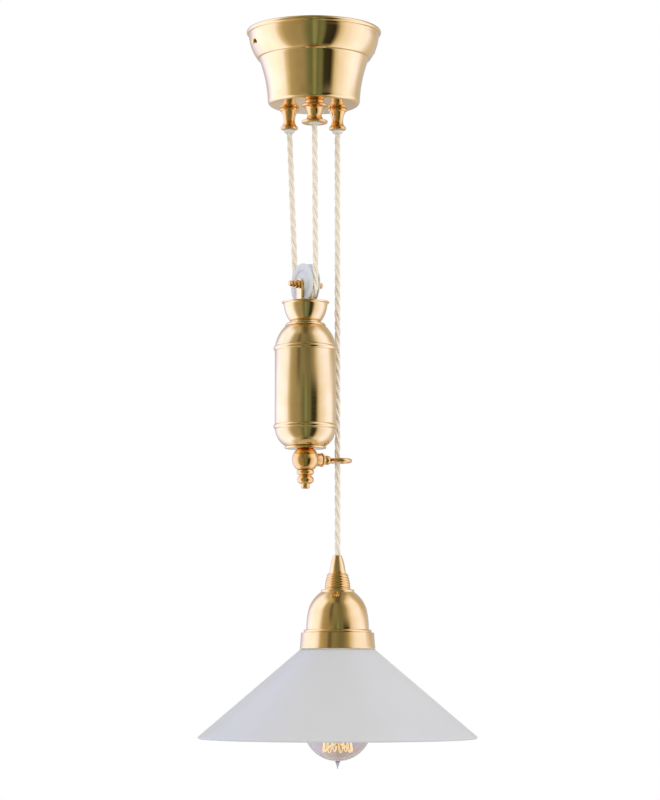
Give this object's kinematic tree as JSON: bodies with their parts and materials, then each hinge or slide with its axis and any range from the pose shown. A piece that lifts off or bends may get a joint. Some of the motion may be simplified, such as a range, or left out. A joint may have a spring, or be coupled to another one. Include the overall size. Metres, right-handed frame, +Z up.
{
  "type": "rise and fall pendant lamp",
  "caption": "Rise and fall pendant: brass ceiling cup, counterweight on a pulley in a loop of twisted flex, and a sliding lamp with an opal glass cone shade.",
  "frame": {"origin": "centre of the ceiling strap's screw circle, in the ceiling plane, on the ceiling cup's axis", "axes": "+Z up out of the ceiling face, +X to the right and +Y away from someone who sees it as in the picture"},
  "size_m": [0.237, 0.237, 0.6323],
  "materials": {
    "canopy_brass": "polished",
    "lamp_brass": "polished",
    "weight_brass": "satin",
    "deep_brass": "polished",
    "steel": "satin",
    "iron": "matte",
    "white_porcelain": "gloss",
    "opal_glass": "gloss",
    "bulb_glass": "gloss",
    "stem_glass": "gloss",
    "black_glass": "gloss",
    "white_bush": "satin",
    "filament": "satin",
    "gasket": "matte",
    "flex": "matte"
  },
  "bodies": {
    "canopy": {"canopy_cup": "canopy_brass", "canopy_side_screws": "canopy_brass", "ceiling_strap": "steel", "load_plate": "steel", "left_cord_nozzle": "deep_brass", "right_cord_nozzle": "deep_brass", "anchor_cord_nozzle": "deep_brass", "nozzle_bushes": "white_bush", "nozzle_lock_nuts": "deep_brass", "cord_ferrule": "deep_brass", "terminal_block": "white_porcelain", "terminal_screws": "deep_brass", "sheave_bracket": "steel", "sheave_axle": "steel", "sheave_axle_clips": "steel", "cord_tail": "flex", "cord_over_sheave": "flex"},
    "ceiling_sheave": {"sheave_wheel": "white_porcelain"},
    "counterweight": {"pulley_yoke": "weight_brass", "pulley_axle": "deep_brass", "pulley_axle_nuts": "deep_brass", "weight_cup": "weight_brass", "weight_collar": "weight_brass", "weight_top_dome": "weight_brass", "weight_beads": "weight_brass", "weight_tube": "weight_brass", "weight_bottom_dome": "weight_brass", "weight_foot": "weight_brass", "weight_ball": "deep_brass", "weight_finial": "deep_brass", "tie_rod": "steel", "tie_rod_nut": "steel", "ballast_slugs": "iron", "cord_anchor_run": "flex", "cord_return_run": "flex", "cord_pulley_wrap": "flex"},
    "weight_pulley": {"pulley_wheel": "white_porcelain", "pulley_bush": "deep_brass"},
    "guide": {"guide_ring": "deep_brass", "guide_lock_nut": "deep_brass"},
    "lamp": {"cord_grip_cone": "lamp_brass", "threaded_nipple": "deep_brass", "ribbed_collar": "lamp_brass", "lamp_dome": "lamp_brass", "nipple_nut": "deep_brass", "shade_gallery": "lamp_brass", "lampholder_body": "white_porcelain", "lampholder_shell": "lamp_brass", "centre_contact": "lamp_brass", "gallery_ring_nut": "lamp_brass", "rim_gasket": "gasket", "glass_shade": "opal_glass", "shade_ring_nut": "lamp_brass", "cord_lamp_run": "flex"},
    "bulb": {"bulb_cap": "lamp_brass", "bulb_contact": "lamp_brass", "bulb_insulator": "black_glass", "bulb_glass": "bulb_glass", "bulb_stem": "stem_glass", "bulb_filament": "filament"}
  },
  "joints": [
    {"name": "counterweight_slide", "type": "slide", "parent": "canopy", "child": "counterweight", "axis": [0, 0, 1], "range_m": [-0.022, 0.098], "deforming": ["cord_anchor_run", "cord_return_run"]},
    {"name": "lamp_slide", "type": "slide", "parent": "canopy", "child": "lamp", "axis": [0, 0, 1], "range_m": [-0.196, 0.044], "deforming": ["cord_lamp_run"]},
    {"name": "pulley_spin", "type": "hinge", "parent": "counterweight", "child": "weight_pulley", "pos_m": [-0.00695, -0.00434, -0.2218], "axis": [0.848, 0.5299, 0], "continuous": true},
    {"name": "sheave_spin", "type": "hinge", "parent": "canopy", "child": "ceiling_sheave", "pos_m": [-0.00042, 0.01199, -0.036], "axis": [-0.0349, 0.9994, 0], "continuous": true},
    {"name": "guide_swivel", "type": "hinge", "parent": "counterweight", "child": "guide", "pos_m": [-0.00695, -0.00434, -0.37125], "axis": [0.848, 0.5299, 0], "range_deg": [-25, 25]},
    {"name": "bulb_screw", "type": "hinge", "parent": "lamp", "child": "bulb", "pos_m": [0.02035, 0.01272, -0.541], "axis": [0, 0, 1], "continuous": true}
  ],
  "couplings": [
    {"joint": "lamp_slide", "follows": "counterweight_slide", "ratio": -2},
    {"joint": "pulley_spin", "follows": "counterweight_slide", "rad_per_m": 60.606},
    {"joint": "sheave_spin", "follows": "counterweight_slide", "rad_per_m": 96.225}
  ]
}
